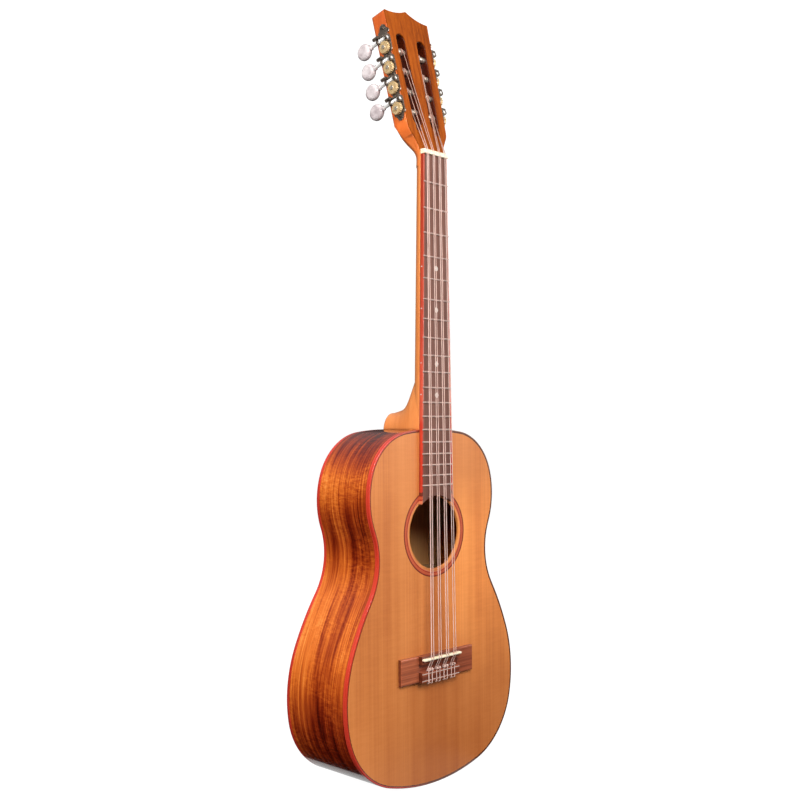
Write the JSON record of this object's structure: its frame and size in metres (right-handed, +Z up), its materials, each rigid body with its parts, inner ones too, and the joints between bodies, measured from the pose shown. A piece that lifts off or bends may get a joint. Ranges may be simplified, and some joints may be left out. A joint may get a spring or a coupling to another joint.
{
  "type": "fretted string instrument",
  "caption": "Hollow-bodied fretted instrument with double string courses, slotted headstock and worm-geared tuners whose buttons turn the string posts.",
  "frame": {"origin": "under the middle of the bounding box, level with the tail edge of the body", "axes": "+Z up the instrument from the tail to the headstock, -Y out of the soundboard, +X to the right seen from the front"},
  "size_m": [0.253, 0.105, 0.8093],
  "materials": {
    "soundboard_wood": "satin",
    "back_wood": "gloss",
    "side_wood": "gloss",
    "binding_wood": "satin",
    "spruce": "raw",
    "block_wood": "raw",
    "dark_line": "satin",
    "neck_wood": "satin",
    "veneer_wood": "satin",
    "fingerboard_wood": "oiled",
    "bridge_wood": "oiled",
    "fret_metal": "polished",
    "white_inlay": "gloss",
    "bone": "satin",
    "nylon_string": "gloss",
    "plate_metal": "antique",
    "screw_metal": "polished",
    "brass_gear": "satin",
    "worm_nickel": "polished",
    "post_steel": "satin",
    "pearl_button": "pearl"
  },
  "bodies": {
    "root": {"back": "back_wood", "body_binding": "binding_wood", "braces": "spruce", "bridge": "bridge_wood", "fingerboard": "fingerboard_wood", "fingerboard_binding": "binding_wood", "frets": "fret_metal", "headstock_veneer": "veneer_wood", "left_side": "side_wood", "left_tuner_plate": "plate_metal", "linings": "spruce", "neck": "neck_wood", "neck_block": "block_wood", "nut": "bone", "plate_screws": "screw_metal", "position_dots": "white_inlay", "purfling_lines": "dark_line", "right_side": "side_wood", "right_tuner_plate": "plate_metal", "rosette_band": "binding_wood", "saddle": "bone", "soundboard": "soundboard_wood", "strings_course_1": "nylon_string", "strings_course_2": "nylon_string", "strings_course_3": "nylon_string", "strings_course_4": "nylon_string", "tail_block": "block_wood", "tie_block_lines": "white_inlay"},
    "knob_left_1": {"button_left_1": "pearl_button", "worm_shaft_left_1": "worm_nickel"},
    "roller_left_1": {"gear_left_1": "brass_gear", "string_post_left_1": "post_steel"},
    "knob_left_2": {"button_left_2": "pearl_button", "worm_shaft_left_2": "worm_nickel"},
    "roller_left_2": {"gear_left_2": "brass_gear", "string_post_left_2": "post_steel"},
    "knob_left_3": {"button_left_3": "pearl_button", "worm_shaft_left_3": "worm_nickel"},
    "roller_left_3": {"gear_left_3": "brass_gear", "string_post_left_3": "post_steel"},
    "knob_left_4": {"button_left_4": "pearl_button", "worm_shaft_left_4": "worm_nickel"},
    "roller_left_4": {"gear_left_4": "brass_gear", "string_post_left_4": "post_steel"},
    "knob_right_1": {"button_right_1": "pearl_button", "worm_shaft_right_1": "worm_nickel"},
    "roller_right_1": {"gear_right_1": "brass_gear", "string_post_right_1": "post_steel"},
    "knob_right_2": {"button_right_2": "pearl_button", "worm_shaft_right_2": "worm_nickel"},
    "roller_right_2": {"gear_right_2": "brass_gear", "string_post_right_2": "post_steel"},
    "knob_right_3": {"button_right_3": "pearl_button", "worm_shaft_right_3": "worm_nickel"},
    "roller_right_3": {"gear_right_3": "brass_gear", "string_post_right_3": "post_steel"},
    "knob_right_4": {"button_right_4": "pearl_button", "worm_shaft_right_4": "worm_nickel"},
    "roller_right_4": {"gear_right_4": "brass_gear", "string_post_right_4": "post_steel"}
  },
  "joints": [
    {"name": "turn_knob_left_1", "type": "hinge", "parent": "root", "child": "knob_left_1", "pos_m": [-0.03403, -0.0201, 0.70259], "axis": [0, 0.9724, -0.2334], "continuous": true},
    {"name": "turn_post_left_1", "type": "hinge", "parent": "root", "child": "roller_left_1", "pos_m": [-0.02969, -0.02206, 0.69442], "axis": [-0.9996, -0.0066, -0.0276], "continuous": true},
    {"name": "turn_knob_left_2", "type": "hinge", "parent": "root", "child": "knob_left_2", "pos_m": [-0.03468, -0.01476, 0.72481], "axis": [0, 0.9724, -0.2334], "continuous": true},
    {"name": "turn_post_left_2", "type": "hinge", "parent": "root", "child": "roller_left_2", "pos_m": [-0.03034, -0.01672, 0.71664], "axis": [-0.9996, -0.0066, -0.0276], "continuous": true},
    {"name": "turn_knob_left_3", "type": "hinge", "parent": "root", "child": "knob_left_3", "pos_m": [-0.03532, -0.00943, 0.74703], "axis": [0, 0.9724, -0.2334], "continuous": true},
    {"name": "turn_post_left_3", "type": "hinge", "parent": "root", "child": "roller_left_3", "pos_m": [-0.03098, -0.01139, 0.73886], "axis": [-0.9996, -0.0066, -0.0276], "continuous": true},
    {"name": "turn_knob_left_4", "type": "hinge", "parent": "root", "child": "knob_left_4", "pos_m": [-0.03597, -0.00409, 0.76925], "axis": [0, 0.9724, -0.2334], "continuous": true},
    {"name": "turn_post_left_4", "type": "hinge", "parent": "root", "child": "roller_left_4", "pos_m": [-0.03163, -0.00606, 0.76108], "axis": [-0.9996, -0.0066, -0.0276], "continuous": true},
    {"name": "turn_knob_right_1", "type": "hinge", "parent": "root", "child": "knob_right_1", "pos_m": [0.03403, -0.0201, 0.70259], "axis": [0, 0.9724, -0.2334], "continuous": true},
    {"name": "turn_post_right_1", "type": "hinge", "parent": "root", "child": "roller_right_1", "pos_m": [0.02969, -0.02206, 0.69442], "axis": [0.9996, -0.0066, -0.0276], "continuous": true},
    {"name": "turn_knob_right_2", "type": "hinge", "parent": "root", "child": "knob_right_2", "pos_m": [0.03468, -0.01476, 0.72481], "axis": [0, 0.9724, -0.2334], "continuous": true},
    {"name": "turn_post_right_2", "type": "hinge", "parent": "root", "child": "roller_right_2", "pos_m": [0.03034, -0.01672, 0.71664], "axis": [0.9996, -0.0066, -0.0276], "continuous": true},
    {"name": "turn_knob_right_3", "type": "hinge", "parent": "root", "child": "knob_right_3", "pos_m": [0.03532, -0.00943, 0.74703], "axis": [0, 0.9724, -0.2334], "continuous": true},
    {"name": "turn_post_right_3", "type": "hinge", "parent": "root", "child": "roller_right_3", "pos_m": [0.03098, -0.01139, 0.73886], "axis": [0.9996, -0.0066, -0.0276], "continuous": true},
    {"name": "turn_knob_right_4", "type": "hinge", "parent": "root", "child": "knob_right_4", "pos_m": [0.03597, -0.00409, 0.76925], "axis": [0, 0.9724, -0.2334], "continuous": true},
    {"name": "turn_post_right_4", "type": "hinge", "parent": "root", "child": "roller_right_4", "pos_m": [0.03163, -0.00606, 0.76108], "axis": [0.9996, -0.0066, -0.0276], "continuous": true}
  ],
  "couplings": [
    {"joint": "turn_post_left_1", "follows": "turn_knob_left_1", "ratio": 0.055556},
    {"joint": "turn_post_left_2", "follows": "turn_knob_left_2", "ratio": 0.055556},
    {"joint": "turn_post_left_3", "follows": "turn_knob_left_3", "ratio": 0.055556},
    {"joint": "turn_post_left_4", "follows": "turn_knob_left_4", "ratio": 0.055556},
    {"joint": "turn_post_right_1", "follows": "turn_knob_right_1", "ratio": 0.055556},
    {"joint": "turn_post_right_2", "follows": "turn_knob_right_2", "ratio": 0.055556},
    {"joint": "turn_post_right_3", "follows": "turn_knob_right_3", "ratio": 0.055556},
    {"joint": "turn_post_right_4", "follows": "turn_knob_right_4", "ratio": 0.055556}
  ]
}
